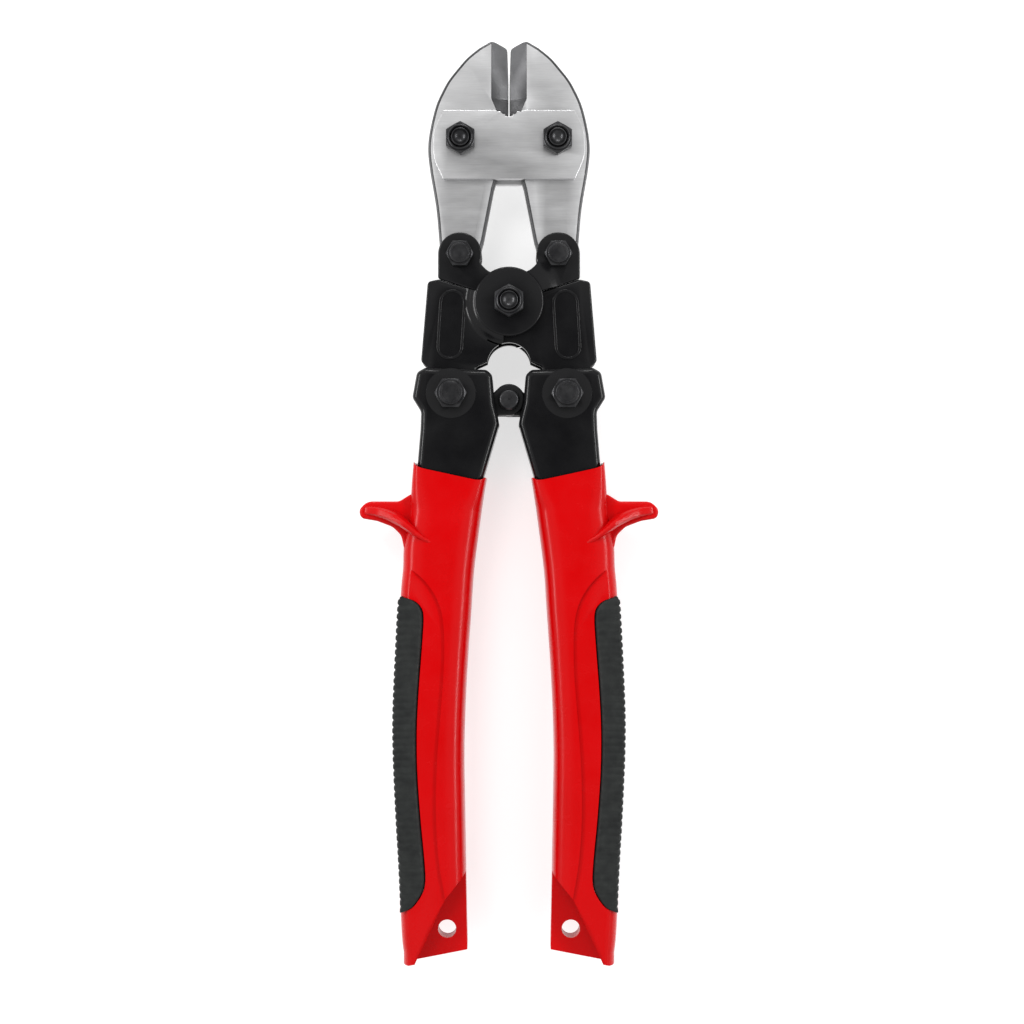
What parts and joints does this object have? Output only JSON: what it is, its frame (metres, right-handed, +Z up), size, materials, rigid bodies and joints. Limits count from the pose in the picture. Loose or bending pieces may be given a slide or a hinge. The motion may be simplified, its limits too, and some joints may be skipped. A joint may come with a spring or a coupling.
{
  "type": "bolt cutters",
  "caption": "Compact compound-action bolt cutters: bolted jaws, crossed levers and two cushioned handles that open.",
  "frame": {"origin": "under the middle of the closed tool's outline, on the surface that it lies on", "axes": "+Y from the grips to the jaw tips, +X to the right-hand handle, +Z up through the bolts"},
  "size_m": [0.0988, 0.305, 0.0282],
  "materials": {
    "ground_steel": "ground, satin",
    "black_paint": "gloss black paint",
    "black_oxide": "black oxide, oiled",
    "red_vinyl": "glossy moulded vinyl",
    "grip_rubber": "matt ribbed rubber"
  },
  "bodies": {
    "centre": {"centre_bolt": "black_oxide", "centre_nut": "black_oxide", "centre_bush": "ground_steel"},
    "lever_left": {"lever_left": "black_paint", "link_bolt_right": "black_oxide", "link_nut_right": "black_oxide"},
    "lever_right": {"lever_right": "black_paint", "link_bolt_left": "black_oxide", "link_nut_left": "black_oxide"},
    "jaw_left": {"jaw_left": "ground_steel"},
    "jaw_right": {"jaw_right": "ground_steel"},
    "jaw_plates": {"jaw_plate_front": "ground_steel", "jaw_plate_back": "ground_steel", "jaw_bolt_left": "black_oxide", "jaw_bolt_right": "black_oxide", "jaw_nut_left": "black_oxide", "jaw_nut_right": "black_oxide"},
    "handle_left": {"handle_core_left": "black_paint", "sleeve_left": "red_vinyl", "grip_insert_left": "grip_rubber", "handle_bolt_left": "black_oxide", "handle_nut_left": "black_oxide", "toggle_rivet": "black_oxide"},
    "handle_right": {"handle_core_right": "black_paint", "sleeve_right": "red_vinyl", "grip_insert_right": "grip_rubber", "handle_bolt_right": "black_oxide", "handle_nut_right": "black_oxide"}
  },
  "joints": [
    {"name": "lever_left_pivot", "type": "hinge", "parent": "centre", "child": "lever_left", "pos_m": [0, 0.0655, 0.0141], "axis": [0, 0, 1], "range_deg": [0, 6.62]},
    {"name": "lever_right_pivot", "type": "hinge", "parent": "centre", "child": "lever_right", "pos_m": [0, 0.0655, 0.0141], "axis": [0, 0, 1], "range_deg": [-6.62, 0]},
    {"name": "handle_left_pivot", "type": "hinge", "parent": "lever_left", "child": "handle_left", "pos_m": [-0.0191, 0.0353, 0.0141], "axis": [0, 0, 1], "range_deg": [-39.6, 0]},
    {"name": "handle_right_pivot", "type": "hinge", "parent": "lever_right", "child": "handle_right", "pos_m": [0.0191, 0.0353, 0.0141], "axis": [0, 0, 1], "range_deg": [0, 39.62]},
    {"name": "jaw_right_pivot", "type": "hinge", "parent": "lever_left", "child": "jaw_right", "pos_m": [0.0162, 0.0814, 0.0141], "axis": [0, 0, 1], "range_deg": [-9.59, 0]},
    {"name": "jaw_left_pivot", "type": "hinge", "parent": "lever_right", "child": "jaw_left", "pos_m": [-0.0162, 0.0814, 0.0141], "axis": [0, 0, 1], "range_deg": [0, 9.59]},
    {"name": "jaw_plates_pivot", "type": "hinge", "parent": "jaw_left", "child": "jaw_plates", "pos_m": [-0.016, 0.1192, 0.0141], "axis": [0, 0, 1], "range_deg": [-2.99, 0]}
  ],
  "couplings": [
    {"joint": "lever_left_pivot", "follows": "handle_left_pivot", "ratio": -0.16667},
    {"joint": "lever_right_pivot", "follows": "handle_left_pivot", "ratio": 0.16667},
    {"joint": "handle_right_pivot", "follows": "handle_left_pivot", "ratio": -1},
    {"joint": "jaw_right_pivot", "follows": "handle_left_pivot", "ratio": 0.24167},
    {"joint": "jaw_left_pivot", "follows": "handle_left_pivot", "ratio": -0.24167},
    {"joint": "jaw_plates_pivot", "follows": "handle_left_pivot", "ratio": 0.075}
  ]
}
